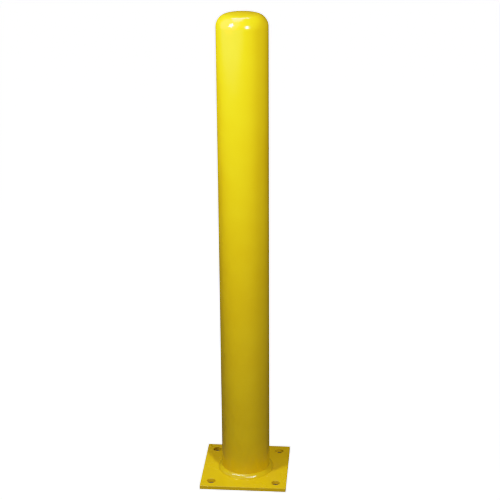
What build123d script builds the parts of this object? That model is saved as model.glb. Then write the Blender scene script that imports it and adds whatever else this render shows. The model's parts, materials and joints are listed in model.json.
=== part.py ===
from build123d import *

import math
import os

# A fixed steel safety bollard: a pipe post with a domed cap, welded to a square base plate.
#
# The origin is at the centre of the plate's underside, which rests on the floor. +Z is up, and the
# plate's edges lie along X and Y. Sizes are in millimetres. Five solids, from the floor up:
#
#   base_plate  flat plate with four anchor holes, and a vent hole under the post
#   foot_weld   fillet weld all round the foot of the post
#   post_tube   steel pipe, square cut at the foot and bevelled at the top
#   cap_weld    groove weld between the pipe and the cap, ground flush with the pipe
#   dome_cap    pressed cap: a nearly flat crown, a wide round shoulder and a short straight flange

# Post: 4 inch nominal pipe, schedule 40.
tube_outside_diameter = 114.3
tube_wall = 6.02
tube_length = 1054.1

# Cap: pressed from thinner plate than the pipe's wall. Its shoulder's radius is a quarter of the
# post's width, and its crown's radius is twice that width.
cap_wall = 4.76
cap_flange_length = 6.35
cap_shoulder_radius = tube_outside_diameter / 4
cap_crown_radius = tube_outside_diameter * 2

# Base plate, with an anchor hole in each corner, as far from one edge as from the other.
plate_side = 203.2
plate_thickness = 9.525
plate_corner_radius = 2.5
plate_edge_break = 0.8
anchor_edge_distance = 25.4
anchor_hole_diameter = 19.05
vent_hole_diameter = 12.7

# Foot weld: equal legs on the pipe and the plate, with a slightly convex face. At its root it has
# burnt a little way into the pipe's wall.
foot_weld_leg = 9.0
foot_weld_crown = 0.9
foot_weld_penetration = 1.2

# Cap weld: a V groove cut into both edges, which leaves a land on which the cap stands.
groove_land = 1.6
groove_bevel_deg = 35.0

# Places that more than one piece shares.
tube_radius = tube_outside_diameter / 2
tube_bore_radius = tube_radius - tube_wall
cap_bore_radius = tube_radius - cap_wall
plate_top = plate_thickness
seam_height = plate_top + tube_length
dome_base = seam_height + cap_flange_length
shoulder_centre_radius = tube_radius - cap_shoulder_radius
crown_slope = math.asin(shoulder_centre_radius / (cap_crown_radius - cap_shoulder_radius))
crown_centre = dome_base - (cap_crown_radius - cap_shoulder_radius) * math.cos(crown_slope)
dome_top = crown_centre + cap_crown_radius
groove_root_radius = cap_bore_radius + groove_land
groove_depth = tube_radius - groove_root_radius
groove_half_width = groove_depth * math.tan(math.radians(groove_bevel_deg))
foot_weld_top = plate_top + foot_weld_leg
foot_weld_root_radius = tube_radius - foot_weld_penetration
anchor_spacing = plate_side - 2 * anchor_edge_distance

# The plate stands on the floor. Its corners are rounded and its edges are broken all round.
with BuildPart() as base_plate:
    with BuildSketch():
        RectangleRounded(plate_side, plate_side, plate_corner_radius)
    extrude(amount=plate_thickness)
    chamfer(base_plate.edges().filter_by(Plane.XY), length=plate_edge_break)
    with GridLocations(anchor_spacing, anchor_spacing, 2, 2):
        Hole(radius=anchor_hole_diameter / 2)
    Hole(radius=vent_hole_diameter / 2)

# The pipe stands square on the plate. At its foot the weld has eaten into it, and its top edge
# carries the lower half of the cap's weld groove.
with BuildPart() as post_tube:
    with BuildSketch(Plane.XZ):
        with BuildLine():
            Polyline(
                (tube_bore_radius, plate_top),
                (foot_weld_root_radius, plate_top),
                (tube_radius, foot_weld_top),
                (tube_radius, seam_height - groove_half_width),
                (groove_root_radius, seam_height),
                (tube_bore_radius, seam_height),
                close=True,
            )
        make_face()
    revolve(axis=Axis.Z)

# The cap stands on the pipe's land. Its flange carries the upper half of the weld groove. The crown
# and the shoulder are two arcs that meet smoothly, with the same centres inside and out, so the wall
# keeps one thickness.
with BuildPart() as dome_cap:
    with BuildSketch(Plane.XZ):
        with BuildLine():
            slope = math.degrees(crown_slope)
            outer_crown = CenterArc((0, crown_centre), cap_crown_radius, 90, -slope)
            outer_shoulder = CenterArc(
                (shoulder_centre_radius, dome_base), cap_shoulder_radius, 90 - slope, slope - 90
            )
            inner_shoulder = CenterArc(
                (shoulder_centre_radius, dome_base), cap_shoulder_radius - cap_wall, 0, 90 - slope
            )
            inner_crown = CenterArc((0, crown_centre), cap_crown_radius - cap_wall, 90 - slope, slope)
            Polyline(
                (tube_radius, dome_base),
                (tube_radius, seam_height + groove_half_width),
                (groove_root_radius, seam_height),
                (cap_bore_radius, seam_height),
                (cap_bore_radius, dome_base),
            )
            Line((0, dome_top - cap_wall), (0, dome_top))
        make_face()
    revolve(axis=Axis.Z)

# The cap weld fills the V groove and is ground flush with the pipe.
with BuildPart() as cap_weld:
    with BuildSketch(Plane.XZ):
        with BuildLine():
            Polyline(
                (groove_root_radius, seam_height),
                (tube_radius, seam_height - groove_half_width),
                (tube_radius, seam_height + groove_half_width),
                close=True,
            )
        make_face()
    revolve(axis=Axis.Z)

# The foot weld runs all round the pipe, with a convex face from the plate up to the pipe.
with BuildPart() as foot_weld:
    with BuildSketch(Plane.XZ):
        with BuildLine():
            plate_toe = (tube_radius + foot_weld_leg, plate_top)
            pipe_toe = (tube_radius, foot_weld_top)
            Polyline(pipe_toe, (foot_weld_root_radius, plate_top), plate_toe)
            SagittaArc(plate_toe, pipe_toe, -foot_weld_crown)
        make_face()
    revolve(axis=Axis.Z)

base_plate.part.label = "base_plate"
post_tube.part.label = "post_tube"
dome_cap.part.label = "dome_cap"
cap_weld.part.label = "cap_weld"
foot_weld.part.label = "foot_weld"

os.makedirs("parts", exist_ok=True)
for piece in (base_plate, post_tube, dome_cap, cap_weld, foot_weld):
    export_step(piece.part, f"parts/{piece.part.label}.step")

print("overall height", round(dome_top, 3))
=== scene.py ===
# %% [markdown]
# # A steel safety bollard
#
# This lesson dresses a welded steel bollard. The CAD model already holds every size: a round pipe
# on a square base plate, a pressed dome on top, and two welds. Blender adds what the eye wants: the
# rounded edges of a coated plate, the ripples of the weld bead and a glossy yellow powder coat.
#
# The CAD model is loaded first and never moved. Every new piece reads its place from it.

# %% Load the fixed frame
import json
import math

import bmesh
import bpy
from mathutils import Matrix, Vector, noise


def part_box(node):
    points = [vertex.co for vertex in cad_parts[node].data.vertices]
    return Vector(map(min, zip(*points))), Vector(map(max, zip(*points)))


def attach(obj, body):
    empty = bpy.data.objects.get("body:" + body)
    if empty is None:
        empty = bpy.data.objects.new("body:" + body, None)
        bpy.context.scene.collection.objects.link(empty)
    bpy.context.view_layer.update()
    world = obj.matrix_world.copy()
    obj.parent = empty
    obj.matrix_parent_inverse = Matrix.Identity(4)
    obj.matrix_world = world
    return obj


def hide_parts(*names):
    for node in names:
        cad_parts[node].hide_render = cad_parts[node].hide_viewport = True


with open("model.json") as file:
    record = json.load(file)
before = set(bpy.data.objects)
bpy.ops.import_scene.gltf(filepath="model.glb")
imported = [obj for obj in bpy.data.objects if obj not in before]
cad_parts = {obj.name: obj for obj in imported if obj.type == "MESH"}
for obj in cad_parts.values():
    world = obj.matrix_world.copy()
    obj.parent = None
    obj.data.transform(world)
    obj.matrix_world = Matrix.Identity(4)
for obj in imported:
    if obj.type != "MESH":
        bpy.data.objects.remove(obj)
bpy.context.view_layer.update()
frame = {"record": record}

# %% [markdown]
# ## Sizes, read from the frame
#
# A box round each CAD node gives the heights at which the pieces meet, and the record's mounts give
# the anchor holes and the post's radius. Only what no box or mount can tell, such as a wall's
# thickness or the cap's two radii, has to be written here again.

# %% Sizes shared by the pieces
MM = 0.001
mounts = {mount["name"]: mount for mount in frame["record"]["mounts"]}
plate_low, plate_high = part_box("base_plate")
pipe_low, pipe_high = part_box("post_tube")
cap_low, cap_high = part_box("dome_cap")
seam_low, seam_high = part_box("cap_weld")
bead_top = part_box("foot_weld")[1].z

post_radius = mounts["post_outside"]["dims"]["r_mm"] * MM
pipe_wall = 6.02 * MM
cap_wall = 4.76 * MM
shoulder_radius = post_radius / 2
crown_radius = post_radius * 4
groove_land = 1.6 * MM
root_bite = 1.2 * MM

plate_top = plate_high.z
seam_height = cap_low.z
groove_root = post_radius - cap_wall + groove_land
print("post radius", round(post_radius, 5), "seam height", round(seam_height, 4))

# %% [markdown]
# ## Camera
#
# A product picture of a tall, thin object is taken from well back with a long lens, so that its
# sides stay nearly parallel. The camera stands a little to the right, above the top of the post, and
# looks down on it. Making it first means that every later piece can be judged in the real view.

# %% Camera
EYE = (0.236, -2.706, 1.570)
LOOK_DOWN = 20.33
TURN_LEFT = 4.7
LEAN = -0.42
LENS = 92.2

bpy.ops.object.select_all(action="DESELECT")
bpy.ops.object.camera_add(
    location=EYE, rotation=(math.radians(90 - LOOK_DOWN), 0, math.radians(TURN_LEFT))
)
camera = bpy.context.object
camera.name = "studio_camera"
camera.rotation_euler.rotate_axis("Z", math.radians(LEAN))
camera.data.lens = LENS
bpy.context.scene.camera = camera
print("camera at", EYE, "lens", LENS, "mm")

# %% [markdown]
# ## Film
#
# A camera doesn't clip bright colours, it bends them: each channel rises ever more slowly as it nears
# white. That's why bright yellow paint looks lemon in the light and orange in the shade. The Standard
# view clips instead, so a curve is laid over it, which follows x / (1 + x^2.5)^0.4. It only lets go
# near full white, so that paper still comes out clean.

# %% Film curve
scene = bpy.context.scene
scene.view_settings.view_transform = "Standard"
scene.view_settings.use_curve_mapping = True
film = scene.view_settings.curve_mapping
FULL_WHITE = 2.0
FILM_POWER = 2.5
LIGHT_LEVELS = (0.1, 0.2, 0.35, 0.5, 0.7, 0.9, 1.1, 1.3, 1.5, 1.75, 1.9)
film.white_level = (FULL_WHITE, FULL_WHITE, FULL_WHITE)
bend = film.curves[3]
for light_level in LIGHT_LEVELS:
    bend.points.new(
        light_level / FULL_WHITE, light_level / (1 + light_level**FILM_POWER) ** (1 / FILM_POWER)
    )
film.update()
print("film curve points:", len(bend.points))

# %% [markdown]
# ## Studio
#
# The floor is a plain pale sheet. Cameras see it white, as paper under strong light, while
# the object only gets back what a real floor in a dim room would. A Light Path node keeps the two
# apart, on the floor and on the world behind it. Under the plate no light reaches the floor, so the
# glow stops there, and the anchor holes look down into the dark.

# %% Floor and world


def new_material(name):
    """A fresh node material and its Principled shader."""
    material = bpy.data.materials.new(name)
    material.use_nodes = True
    return material, material.node_tree.nodes["Principled BSDF"]


def add_node(tree, kind, **values):
    """Adds a node. Values are set on its inputs if it has one of that name, else on the node."""
    node = tree.nodes.new(kind)
    for key, value in values.items():
        title = key.replace("_", " ").title()
        if title in node.inputs:
            node.inputs[title].default_value = value
        else:
            setattr(node, key, value)
    return node


def calculate(tree, operation, *values):
    """One Math node. Each value is a socket or a plain number."""
    node = add_node(tree, "ShaderNodeMath", operation=operation)
    for slot, value in enumerate(values):
        if isinstance(value, bpy.types.NodeSocket):
            tree.links.new(value, node.inputs[slot])
        else:
            node.inputs[slot].default_value = value
    return node.outputs[0]


def split_place(tree):
    """The Object coordinates as three separate sockets."""
    axes = add_node(tree, "ShaderNodeSeparateXYZ")
    tree.links.new(add_node(tree, "ShaderNodeTexCoord").outputs["Object"], axes.inputs[0])
    return axes.outputs


FLOOR_SIZE = 60.0
FLOOR_GREY = (0.05, 0.05, 0.05, 1)
GLOW_INSET = 8 * MM
ROOM_LIGHT = 0.02
bpy.ops.object.select_all(action="DESELECT")
bpy.ops.mesh.primitive_plane_add(size=FLOOR_SIZE, location=(0, 0, 0))
floor = bpy.context.object
floor.name = "studio_floor"
paper, paper_shader = new_material("pale_paper")
paper_shader.inputs["Base Color"].default_value = FLOOR_GREY
paper_shader.inputs["Roughness"].default_value = 0.8
paper_shader.inputs["Emission Color"].default_value = (1, 1, 1, 1)
tree = paper.node_tree
east, north, _ = split_place(tree)
east = calculate(tree, "ABSOLUTE", east)
north = calculate(tree, "ABSOLUTE", north)
from_middle = calculate(tree, "MAXIMUM", east, north)
in_the_open = calculate(tree, "GREATER_THAN", from_middle, plate_high.x - GLOW_INSET)
for_cameras = add_node(tree, "ShaderNodeLightPath").outputs["Is Camera Ray"]
glow = calculate(tree, "MULTIPLY", calculate(tree, "MULTIPLY", for_cameras, FULL_WHITE), in_the_open)
tree.links.new(glow, paper_shader.inputs["Emission Strength"])
floor.data.materials.append(paper)

world = bpy.data.worlds.new("studio_world")
scene.world = world
world.use_nodes = True
tree = world.node_tree
sky = tree.nodes["Background"]
sky.inputs["Color"].default_value = (1, 1, 1, 1)
backdrop = add_node(tree, "ShaderNodeLightPath").outputs["Is Camera Ray"]
level = add_node(tree, "ShaderNodeMapRange", to_min=ROOM_LIGHT, to_max=FULL_WHITE)
tree.links.new(backdrop, level.inputs["Value"])
tree.links.new(level.outputs["Result"], sky.inputs["Strength"])
print("floor", FLOOR_SIZE, "m across")

# %% [markdown]
# ## Lights
#
# Gloss paint shows its lamps as reflections, so their shape matters as much as their strength. Two
# small lamps stand close in front, left and right. They put two bright spots on the dome, throw the
# post's two shadows on the plate, and leave the foot much darker than the top. A strip hangs
# overhead, and a wide soft panel on the left draws the broad pale band down the upper post.
#
# The two cards do what white cards do in a studio: they give the dome something pale to mirror, but
# shade nothing. The back panel is the other way round. It lights the far side of the post with a
# narrow, level beam that passes over the plate, and no gloss mirrors it.

# %% Lights


def area_light(name, azimuth, distance, height, size, watts, aim, shades=True, shines=True, beam=180):
    """An area light at an azimuth in degrees from straight in front, positive to the right.

    It can be kept out of the shading or out of the gloss, and its beam can be narrowed, in degrees.
    """
    turn = math.radians(azimuth)
    place = Vector((math.sin(turn) * distance, -math.cos(turn) * distance, height))
    bpy.ops.object.select_all(action="DESELECT")
    bpy.ops.object.light_add(type="AREA", location=place)
    lamp = bpy.context.object
    lamp.name = name
    lamp.rotation_euler = (Vector(aim) - place).to_track_quat("-Z", "Y").to_euler()
    lamp.data.shape = "RECTANGLE"
    lamp.data.size, lamp.data.size_y = size
    lamp.data.energy = watts
    lamp.data.spread = math.radians(beam)
    lamp.visible_camera = False
    lamp.visible_diffuse = shades
    lamp.visible_glossy = shines
    print(name, [round(v, 2) for v in place], watts, "W")
    return lamp


area_light("left_lamp", -46.5, 0.60, 1.42, (0.13, 0.24), 9.3, (0, 0, 0.8))
area_light("right_lamp", 27, 1.23, 1.53, (0.17, 0.34), 19.0, (0, 0, 0.8))
area_light("overhead_strip", -170, 0.44, 2.3, (0.75, 0.2), 4.0, (0, 0, 1.1))
area_light("overhead_card", -100, 0.26, 2.3, (0.6, 0.9), 10.0, (-0.26, -0.05, 1.1), shades=False)
area_light("left_panel", -44, 1.2, 0.91, (3.2, 0.42), 4.4, (0, 0, 0.91))
area_light("left_card", -60, 0.5, 1.42, (1.1, 0.8), 5.4, (0, 0, 1.1), shades=False)
area_light("back_panel", 185, 2.0, 0.76, (1.0, 1.0), 3.0, (0, 0, 0.76), shines=False, beam=18)

# %% [markdown]
# ## Powder coat
#
# Powder coat is melted plastic. It is a full, even colour under a clear gloss, with the fine dimples
# called orange peel, about 2 mm across and only a few hundredths of a millimetre deep. Its film is a
# little thicker here and thinner there, which shifts the yellow slightly. All of that is noise on
# the Object coordinates, so it stays put on the steel from every side. What never changes, such as
# the index of refraction, is set on the shader itself, because only that survives an export.

# %% The yellow coat
SUN_YELLOW = (0.87, 0.60, 0.009, 1)
DEEP_YELLOW = (0.83, 0.55, 0.007, 1)
MILLIMETRES_PER_METRE = 1000.0


def blend_colours(tree, factor, first, second):
    """Mixes two colours, each a socket or a plain colour, and returns the mixed socket."""
    mix = add_node(tree, "ShaderNodeMixRGB")
    tree.links.new(factor, mix.inputs["Fac"])
    for slot, colour in (("Color1", first), ("Color2", second)):
        if isinstance(colour, bpy.types.NodeSocket):
            tree.links.new(colour, mix.inputs[slot])
        else:
            mix.inputs[slot].default_value = colour
    return mix.outputs["Color"]


def spread(tree, value, low, high, to_low, to_high):
    """Stretches a value from one range to another, held at both ends."""
    ramp = add_node(tree, "ShaderNodeMapRange", from_min=low, from_max=high, to_min=to_low, to_max=to_high)
    tree.links.new(value, ramp.inputs["Value"])
    return ramp.outputs["Result"]


def grain(tree, size_mm, detail=2.0):
    """Noise on the Object coordinates, whose lumps are about size_mm across."""
    pattern = add_node(tree, "ShaderNodeTexNoise", detail=detail, roughness=0.5)
    pattern.inputs["Scale"].default_value = MILLIMETRES_PER_METRE / size_mm
    tree.links.new(add_node(tree, "ShaderNodeTexCoord").outputs["Object"], pattern.inputs["Vector"])
    return pattern.outputs["Fac"]


def yellow_coat(name, peel_mm, peel_depth_mm, sheen, bright=SUN_YELLOW, deep=DEEP_YELLOW):
    """Glossy yellow powder coat. Sheen is its roughness where glossiest and where dullest."""
    material, shader = new_material(name)
    shader.inputs["IOR"].default_value = 1.5
    tree = material.node_tree
    film = spread(tree, grain(tree, 90.0, detail=4.0), 0.35, 0.65, 0.0, 1.0)
    colour = blend_colours(tree, film, bright, deep)
    tree.links.new(colour, shader.inputs["Base Color"])
    cloud = spread(tree, grain(tree, 35.0, detail=5.0), 0.3, 0.7, *sheen)
    tree.links.new(cloud, shader.inputs["Roughness"])
    peel = add_node(tree, "ShaderNodeBump", distance=peel_depth_mm * MM)
    tree.links.new(grain(tree, peel_mm), peel.inputs["Height"])
    tree.links.new(peel.outputs["Normal"], shader.inputs["Normal"])
    return material, shader, colour


post_coat, _, _ = yellow_coat(
    "gloss_coat_on_post", peel_mm=2.4, peel_depth_mm=0.05, sheen=(0.12, 0.2)
)
print("materials so far:", len(bpy.data.materials))

# %% [markdown]
# ## Bare steel
#
# The inside of the post is never coated. A pipe comes with a grey-brown mill skin that starts to
# rust in a closed, damp space, so a noise lays blooms of rust over dull steel and makes them rough.

# %% Bare steel
MILL_GREY = (0.09, 0.085, 0.08, 1)
RUST = (0.17, 0.065, 0.025, 1)
bare_steel, steel_shader = new_material("bare_mill_steel")
steel_shader.inputs["Metallic"].default_value = 0.6
tree = bare_steel.node_tree
bloom = spread(tree, grain(tree, 30.0, detail=6.0), 0.48, 0.62, 0.0, 1.0)
tree.links.new(blend_colours(tree, bloom, MILL_GREY, RUST), steel_shader.inputs["Base Color"])
tree.links.new(spread(tree, bloom, 0.0, 1.0, 0.45, 0.85), steel_shader.inputs["Roughness"])
print("bare steel ready")

# %% [markdown]
# ## Working by hand, in code
#
# The pieces are shaped as they would be at the screen: add a primitive, go into edit mode, choose
# some vertices, edges or faces, and run an operator on them. An operator acts on whatever is
# selected, so each step first clears the selection, and then picks by place or by direction. When a
# primitive is done, its place is moved into its mesh, and its object goes back to the origin.

# %% Helpers for edit mode
TINY = 1e-5


def take(piece):
    """Makes one object the active one, and the only one selected."""
    bpy.ops.object.select_all(action="DESELECT")
    piece.select_set(True)
    bpy.context.view_layer.objects.active = piece


def settle(name):
    """Names the newest object and moves its place, turn and scale into its mesh."""
    piece = bpy.context.object
    take(piece)
    bpy.ops.object.transform_apply(location=True, rotation=True, scale=True)
    piece.name = piece.data.name = name
    return piece


def start_edit(piece, mode):
    """Opens a piece in edit mode with nothing selected."""
    take(piece)
    bpy.ops.object.mode_set(mode="EDIT")
    bpy.ops.mesh.select_mode(type=mode)
    bpy.ops.mesh.select_all(action="DESELECT")


def end_edit():
    """Goes back to object mode."""
    bpy.ops.object.mode_set(mode="OBJECT")


def pick(part, test):
    """Selects the verts, edges or faces that pass a test, and nothing else."""
    bpy.ops.mesh.select_all(action="DESELECT")
    mesh = bpy.context.object.data
    shape = bmesh.from_edit_mesh(mesh)
    chosen = [item for item in getattr(shape, part) if test(item)]
    for item in chosen:
        item.select_set(True)
    bmesh.update_edit_mesh(mesh)
    return len(chosen)


def apply_modifier(piece, kind, **settings):
    """Adds a modifier, sets it and applies it at once."""
    take(piece)
    modifier = piece.modifiers.new(kind.lower(), kind)
    for key, value in settings.items():
        setattr(modifier, key, value)
    bpy.ops.object.modifier_apply(modifier=modifier.name)


def squeeze_ring(test, factor):
    """Scales the chosen vertices towards the post's axis."""
    count = pick("verts", test)
    bpy.ops.transform.resize(value=(factor, factor, 1), center_override=(0, 0, 0))
    return count


def finish_piece(piece, node, *materials):
    """Smooths a piece, gives it its materials and lets it stand for its CAD node."""
    take(piece)
    bpy.ops.object.shade_smooth_by_angle(angle=math.radians(32))
    if not piece.data.materials:
        for material in materials:
            piece.data.materials.append(material)
    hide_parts(node)
    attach(piece, "root")
    print(piece.name, "has", len(piece.data.polygons), "faces")


def spin_section(piece, steps):
    """Spins the section in the piece all the way round the post, and closes it."""
    start_edit(piece, "EDGE")
    bpy.ops.mesh.select_all(action="SELECT")
    bpy.ops.mesh.delete(type="ONLY_FACE")
    bpy.ops.mesh.select_all(action="SELECT")
    bpy.ops.mesh.spin(steps=steps, angle=2 * math.pi, center=(0, 0, 0), axis=(0, 0, 1))
    bpy.ops.mesh.select_all(action="SELECT")
    bpy.ops.mesh.remove_doubles(threshold=TINY / 10)
    bpy.ops.mesh.normals_make_consistent(inside=False)
    end_edit()


def from_axis(point):
    """A point's distance from the post's axis."""
    return math.hypot(point.x, point.y)


print("helpers ready")

# %% [markdown]
# ## Post
#
# The post is a pipe, so it starts as an open cylinder with many sides, and a Solidify modifier gives
# it its wall. Evenly spaced rings cut its long faces short, which keeps the gloss smooth. At the top
# the outer edge is drawn in to make the weld groove, and at the foot the same is done where the weld
# has burnt into the wall.

# %% Post
POST_SIDES = 192
POST_RINGS = 60
pipe_length = pipe_high.z - pipe_low.z
pipe_middle = (pipe_high.z + pipe_low.z) / 2

bpy.ops.object.select_all(action="DESELECT")
bpy.ops.mesh.primitive_cylinder_add(
    vertices=POST_SIDES,
    radius=post_radius,
    depth=pipe_length,
    end_fill_type="NOTHING",
    location=(0, 0, pipe_middle),
)
post = settle("post_pipe")
start_edit(post, "EDGE")
pick("edges", lambda edge: abs(edge.verts[0].co.z - edge.verts[1].co.z) > TINY)
bpy.ops.mesh.subdivide(number_cuts=POST_RINGS)
for height in (seam_low.z, bead_top):
    bpy.ops.mesh.select_all(action="SELECT")
    bpy.ops.mesh.bisect(plane_co=(0, 0, height), plane_no=(0, 0, 1))
end_edit()
apply_modifier(post, "SOLIDIFY", thickness=pipe_wall, offset=-1, use_even_offset=True)

start_edit(post, "VERT")
outside = post_radius - pipe_wall / 2
squeeze_ring(
    lambda vert: vert.co.z > pipe_high.z - TINY and from_axis(vert.co) > outside,
    groove_root / post_radius,
)
squeeze_ring(
    lambda vert: vert.co.z < pipe_low.z + TINY and from_axis(vert.co) > outside,
    (post_radius - root_bite) / post_radius,
)
end_edit()

post.data.materials.append(post_coat)
post.data.materials.append(bare_steel)
start_edit(post, "FACE")
inner_faces = pick(
    "faces", lambda face: from_axis(face.calc_center_median()) < post_radius - pipe_wall * 0.9
)
bpy.context.object.active_material_index = 1
bpy.ops.object.material_slot_assign()
end_edit()
finish_piece(post, "post_tube")
print("bare faces inside the pipe:", inner_faces)

# %% [markdown]
# ## Cap
#
# The cap is pressed from a round blank: a nearly flat crown, a wide round shoulder and a short
# straight flange. Its outline is drawn as on paper, with a compass. A plane merged to one point
# gives the start, at the top of the crown. Spinning that point about the crown's centre draws the
# first arc, spinning its last point about the shoulder's centre draws the second, and two extrudes
# draw the flange. The outline is then spun about the post's axis, and Solidify adds the wall.

# %% Cap
CAP_SIDES = 192
CROWN_STEPS = 12
SHOULDER_STEPS = 36
shoulder_centre = Vector((post_radius - shoulder_radius, 0, cap_high.z - crown_radius))
crown_centre = Vector((0, 0, cap_high.z - crown_radius))
crown_angle = math.asin(shoulder_centre.x / (crown_radius - shoulder_radius))
shoulder_centre.z += (crown_radius - shoulder_radius) * math.cos(crown_angle)


def lowest(vert):
    """True for the last point of the outline, which is always its lowest."""
    shape = bmesh.from_edit_mesh(bpy.context.object.data)
    return vert.co.z < min(other.co.z for other in shape.verts) + TINY


bpy.ops.object.select_all(action="DESELECT")
bpy.ops.mesh.primitive_plane_add(size=MM, location=(0, 0, cap_high.z))
cap = settle("dome_shell")
start_edit(cap, "VERT")
bpy.ops.mesh.select_all(action="SELECT")
bpy.ops.mesh.merge(type="CENTER")
bpy.ops.mesh.select_all(action="SELECT")
bpy.ops.mesh.spin(steps=CROWN_STEPS, angle=crown_angle, center=crown_centre, axis=(0, -1, 0))
pick("verts", lowest)
bpy.ops.mesh.spin(
    steps=SHOULDER_STEPS,
    angle=math.pi / 2 - crown_angle,
    center=shoulder_centre,
    axis=(0, -1, 0),
)
for height in (seam_high.z, seam_height):
    pick("verts", lowest)
    drop = height - min(vert.co.z for vert in bmesh.from_edit_mesh(cap.data).verts)
    bpy.ops.mesh.extrude_region_move(TRANSFORM_OT_translate={"value": (0, 0, drop)})
end_edit()
print("outline points:", len(cap.data.vertices))
spin_section(cap, CAP_SIDES)
apply_modifier(cap, "SOLIDIFY", thickness=cap_wall, offset=-1, use_even_offset=True)

start_edit(cap, "VERT")
outside = post_radius - cap_wall / 2
squeeze_ring(
    lambda vert: vert.co.z < seam_height + TINY and from_axis(vert.co) > outside,
    groove_root / post_radius,
)
end_edit()

cap.data.materials.append(post_coat)
cap.data.materials.append(bare_steel)
start_edit(cap, "FACE")
inner_faces = pick(
    "faces", lambda face: face.normal.dot(face.calc_center_median() - crown_centre) < 0
)
bpy.context.object.active_material_index = 1
bpy.ops.object.material_slot_assign()
end_edit()
finish_piece(cap, "dome_cap")
print("bare faces inside the cap:", inner_faces)

# %% [markdown]
# ## Cap weld
#
# The cap is joined by a V weld all round, which is ground flush before coating. The grinder never
# leaves it quite level, so under gloss paint the seam still shows as a faint wavy line. The V is one
# triangle standing on edge, spun round the post. Small dents come from a vertex group that tells a
# Displace modifier how deep to go at each vertex.

# %% Cap weld
SEAM_STEPS = 720
SEAM_CUTS = 5
GRINDING_DEPTH = 0.14 * MM
STROKES_PER_METRE = 70


def weigh(piece, name, rule):
    """Stores rule(place) at each vertex in a vertex group, for a modifier to read."""
    group = piece.vertex_groups.new(name=name)
    for vert in piece.data.vertices:
        group.add([vert.index], min(max(rule(vert.co), 0.0), 1.0), "REPLACE")
    return name


half_seam = seam_high.z - seam_height
bpy.ops.object.select_all(action="DESELECT")
bpy.ops.mesh.primitive_plane_add(
    size=1, location=((post_radius + groove_root) / 2, 0, seam_height), rotation=(math.pi / 2, 0, 0)
)
seam = bpy.context.object
seam.scale = (post_radius - groove_root, 2 * half_seam, 1)
seam = settle("cap_seam")
start_edit(seam, "VERT")
pick("verts", lambda vert: vert.co.x < (post_radius + groove_root) / 2)
bpy.ops.mesh.merge(type="CENTER")
bpy.ops.mesh.select_mode(type="EDGE")
pick("edges", lambda edge: min(vert.co.x for vert in edge.verts) > post_radius - TINY)
bpy.ops.mesh.subdivide(number_cuts=SEAM_CUTS)
end_edit()
spin_section(seam, SEAM_STEPS)


def grinding(point):
    """How far the grinder cut in: deepest in the middle of the seam, and in uneven strokes."""
    if from_axis(point) < post_radius - TINY:
        return 0.0
    across = 1 - abs(point.z - seam_height) / half_seam
    around = Vector((point.x, point.y, 0)) * STROKES_PER_METRE
    return math.sqrt(max(across, 0.0)) * (0.5 + 0.5 * noise.noise(around))


strokes = weigh(seam, "grinding", grinding)
apply_modifier(seam, "DISPLACE", strength=-GRINDING_DEPTH, mid_level=0, vertex_group=strokes)
finish_piece(seam, "cap_weld", post_coat)

# %% [markdown]
# ## Foot weld
#
# The bead round the foot is a fillet weld, laid in short runs. Seen close, it is a row of overlapping
# crescents, where each drop froze on the one before, and it has a small lump where a run starts and a
# hollow where one stops. The section begins as a square standing in the corner between the pipe and
# the plate. Bevelling its outer corner gives the slightly full face, and a spin carries it round.

# %% Foot weld: the plain bead
BEAD_STEPS = 1200
FACE_CUTS = 14
FACE_FULLNESS = 0.335
ALMOST_ALL = 0.999
bead_leg = bead_top - plate_top
corner = post_radius + bead_leg / 2

bpy.ops.object.select_all(action="DESELECT")
bpy.ops.mesh.primitive_plane_add(
    size=bead_leg, location=(corner, 0, plate_top + bead_leg / 2), rotation=(math.pi / 2, 0, 0)
)
bead = settle("foot_bead")
start_edit(bead, "VERT")
pick("verts", lambda vert: vert.co.x > corner and vert.co.z > plate_top + bead_leg / 2)
bpy.ops.mesh.bevel(
    offset=bead_leg * ALMOST_ALL,
    segments=FACE_CUTS,
    profile=FACE_FULLNESS,
    affect="VERTICES",
    clamp_overlap=False,
)
bpy.ops.mesh.select_all(action="SELECT")
bpy.ops.mesh.remove_doubles(threshold=bead_leg * 0.002)
pick("verts", lambda vert: vert.co.x < post_radius + TINY and vert.co.z < plate_top + TINY)
bpy.ops.transform.translate(value=(-root_bite, 0, 0))
end_edit()
spin_section(bead, BEAD_STEPS)
print("bead section points:", len(bead.data.vertices) // BEAD_STEPS)

# %% [markdown]
# The ripples follow one rule: an angle round the post gives the place in the run, and a share from
# toe to toe gives the place across the face. The crescent bends because the middle of the face lags
# behind its two toes. Slow noise then makes some ripples taller than others.

# %% Foot weld: ripples, starts and stops
RIPPLES = 118
LAG = 2.4
DRIFT = 1.3
RIPPLE_HEIGHT = 0.62 * MM
CREST_SHARE = 0.24
SWELL_SHARE = 0.25
RUN_ENDS = (-55.0, 50.0, 172.0)
LUMP_SHARE = 0.55
HOLLOW_SHARE = 0.40
LUMP_WIDTH = 4.2
HOLLOW_GAP = 2.1 * LUMP_WIDTH


def across_face(point):
    """0 at the pipe's toe, 1 at the plate's toe, and None away from the bead's face."""
    out = (from_axis(point) - post_radius) / bead_leg
    up = (point.z - plate_top) / bead_leg
    if out < -0.01 or up < 0.001 and out < 0.98 or out + up < 0.97:
        return None
    return min(max((1 + out - up) / 2, 0.0), 1.0)


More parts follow.
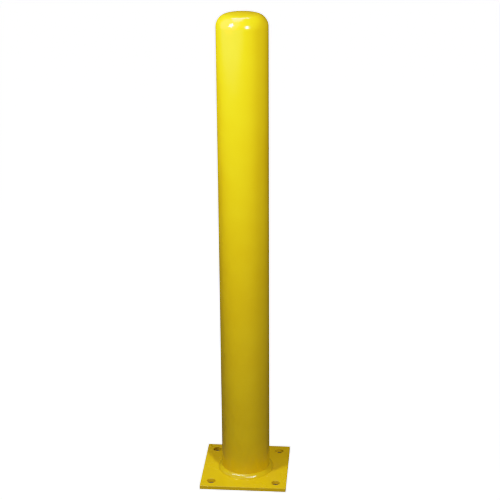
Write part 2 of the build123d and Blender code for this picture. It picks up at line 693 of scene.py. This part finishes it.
def ripple(point):
    """Height of the weld's face above its lowest skin, from 0 to 1."""
    share = across_face(point)
    if share is None:
        return 0.0
    turn = math.atan2(point.x, -point.y)
    belly = 4 * share * (1 - share)
    drift = DRIFT * noise.noise(Vector((point.x, point.y, 0)) * 60)
    crest = 0.5 + 0.5 * math.cos(RIPPLES * turn - LAG * belly + drift)
    swell = 0.5 + 0.5 * noise.noise(Vector((point.x, point.y, 0.01)) * 38)
    height = CREST_SHARE * crest**1.6 * (0.6 + 0.8 * swell) + SWELL_SHARE * swell
    for end in RUN_ENDS:
        away = (math.degrees(turn) - end + 180) % 360 - 180
        height += LUMP_SHARE * math.exp(-((away / LUMP_WIDTH) ** 2))
        height -= HOLLOW_SHARE * math.exp(-(((away + HOLLOW_GAP) / LUMP_WIDTH) ** 2))
    return height * math.sqrt(belly)


drops = weigh(bead, "ripples", ripple)
apply_modifier(bead, "DISPLACE", strength=RIPPLE_HEIGHT, mid_level=0, vertex_group=drops)
bead_coat, _, _ = yellow_coat(
    "gloss_coat_on_weld", peel_mm=1.8, peel_depth_mm=0.03, sheen=(0.1, 0.18)
)
finish_piece(bead, "foot_weld", bead_coat)
print("ripples round the foot:", RIPPLES)

# %% [markdown]
# ## Base plate
#
# The plate is cut from flat bar. It starts as a cube at its full size. Its four upright corners are
# bevelled, and then the edges round both faces, while the block is still simple. One drill is
# modelled and copied for the other holes, and a Boolean modifier cuts them all. The rims of the holes
# are bevelled last, because a coated edge is always a little round. Weighted normals then keep the
# broad faces looking flat beside their round edges.

# %% Base plate: the block and its corners
plate_size = plate_high - plate_low
CORNER_RADIUS = 2.5 * MM
EDGE_ROUND = 0.9 * MM
HOLE_SIDES = 96
VENT_RADIUS = 6.35 * MM
CLEAR_OF_EDGE = 10 * MM

bpy.ops.object.select_all(action="DESELECT")
bpy.ops.mesh.primitive_cube_add(size=1, location=(0, 0, plate_top / 2))
plate = bpy.context.object
plate.scale = plate_size
plate = settle("anchor_plate")
start_edit(plate, "EDGE")
pick("edges", lambda edge: abs(edge.verts[0].co.z - edge.verts[1].co.z) > TINY)
bpy.ops.mesh.bevel(offset=CORNER_RADIUS, segments=8, affect="EDGES")
pick("edges", lambda edge: abs(edge.verts[0].co.z - edge.verts[1].co.z) < TINY)
bpy.ops.mesh.bevel(offset=EDGE_ROUND, segments=4, affect="EDGES")
end_edit()
print("plate size, metres:", [round(v, 4) for v in plate_size])

# %% [markdown]
# The record's mount gives the anchor holes' radius and spacing. A vent hole under the post lets hot
# air out while the post is coated. After the cuts, the rims are found by place and by the angle
# between their faces, and bevelled in one go.

# %% Base plate: the holes
anchor = mounts["anchor_holes"]["dims"]
reach_x = anchor["spacing_x_mm"] * MM / 2
reach_y = anchor["spacing_y_mm"] * MM / 2


def drill(name, radius, place):
    """A plain cutter that runs past both faces of the plate."""
    bpy.ops.object.select_all(action="DESELECT")
    bpy.ops.mesh.primitive_cylinder_add(
        vertices=HOLE_SIDES, radius=radius, depth=4 * plate_top, location=place
    )
    return settle(name)


cutter = drill("anchor_drill", anchor["hole_r_mm"] * MM, (reach_x, reach_y, plate_top / 2))
cutters = [cutter]
for side_x, side_y in ((-1, 1), (1, -1), (-1, -1)):
    twin = cutter.copy()
    twin.data = cutter.data.copy()
    twin.location = ((side_x - 1) * reach_x, (side_y - 1) * reach_y, 0)
    scene.collection.objects.link(twin)
    cutters.append(twin)
cutters.append(drill("vent_drill", VENT_RADIUS, (0, 0, plate_top / 2)))
for cutter in cutters:
    apply_modifier(plate, "BOOLEAN", object=cutter, operation="DIFFERENCE", solver="EXACT")
    bpy.data.objects.remove(cutter)


def on_a_rim(edge):
    """True for the sharp edges round the holes, which lie well inside the plate's outline."""
    reach = max(max(abs(vert.co.x), abs(vert.co.y)) for vert in edge.verts)
    level = abs(edge.verts[0].co.z - edge.verts[1].co.z) < TINY
    return reach < plate_high.x - CLEAR_OF_EDGE and level and edge.calc_face_angle(0) > math.radians(60)


start_edit(plate, "EDGE")
rims = pick("edges", on_a_rim)
bpy.ops.mesh.bevel(offset=EDGE_ROUND, segments=4, affect="EDGES")
end_edit()
print("rim edges rounded:", rims)

# %% [markdown]
# The plate takes the most handling, so its coat has its own material. Its yellows are also a brighter
# copy of the post's, which is painted light: the colour stands in for extra light on the flat plate.
# Near the hole rims and the plate's edges the colour turns a darker brown. That is partly the film
# pulling thin there and partly painted shade, like the dark inside the holes. The rims are found by
# measuring how far a point is from them, with a little arithmetic on the Object coordinates. A slow
# noise lays a trace of dust over it all.

# %% Base plate: its coat
# Painted light: these yellows are a brighter copy of the post's coat, standing in for extra light on the
# flat plate.
PLATE_YELLOW_WITH_PAINTED_LIGHT = (0.96, 0.63, 0.008, 1)
PLATE_DEEP_WITH_PAINTED_LIGHT = (0.92, 0.585, 0.006, 1)
THIN_FILM_AND_PAINTED_SHADE = (0.55, 0.33, 0.010, 1)
DUST = (0.66, 0.52, 0.14, 1)

plate_coat, plate_shader, plate_colour_with_painted_light = yellow_coat(
    "gloss_coat_on_plate", 2.2, 0.05, sheen=(0.16, 0.3), bright=PLATE_YELLOW_WITH_PAINTED_LIGHT, deep=PLATE_DEEP_WITH_PAINTED_LIGHT
)
tree = plate_coat.node_tree
east, north, up = split_place(tree)
east = calculate(tree, "ABSOLUTE", east)
north = calculate(tree, "ABSOLUTE", north)
to_side = calculate(tree, "SUBTRACT", plate_high.x, calculate(tree, "MAXIMUM", east, north))
to_top = calculate(tree, "ABSOLUTE", calculate(tree, "SUBTRACT", up, plate_top))
to_face = calculate(tree, "MINIMUM", calculate(tree, "ABSOLUTE", up), to_top)
off_x = calculate(tree, "POWER", calculate(tree, "SUBTRACT", east, reach_x), 2)
off_y = calculate(tree, "POWER", calculate(tree, "SUBTRACT", north, reach_y), 2)
from_hole = calculate(tree, "SQRT", calculate(tree, "ADD", off_x, off_y))
past_rim = calculate(tree, "SUBTRACT", from_hole, anchor["hole_r_mm"] * MM)
to_rim = calculate(tree, "ABSOLUTE", past_rim)
nearest = calculate(tree, "ADD", calculate(tree, "MINIMUM", to_side, to_rim), to_face)
raggedness = spread(tree, grain(tree, 6.0), 0.3, 0.7, 0, 1.2 * MM)
ragged = calculate(tree, "ADD", nearest, raggedness)
# Partly painted shade: rims and edges turn a darker brown, partly where the film pulls thin and partly as
# the shade at the holes.
thin_film_and_painted_shade = spread(tree, ragged, 0.3 * MM, 2.0 * MM, 0.75, 0.0)
settled = spread(tree, grain(tree, 45.0, detail=6.0), 0.52, 0.75, 0.0, 0.06)
dusty = blend_colours(tree, settled, plate_colour_with_painted_light, DUST)
tree.links.new(blend_colours(tree, thin_film_and_painted_shade, dusty, THIN_FILM_AND_PAINTED_SHADE), plate_shader.inputs["Base Color"])
finish_piece(plate, "base_plate", plate_coat)
apply_modifier(plate, "WEIGHTED_NORMAL", keep_sharp=True)
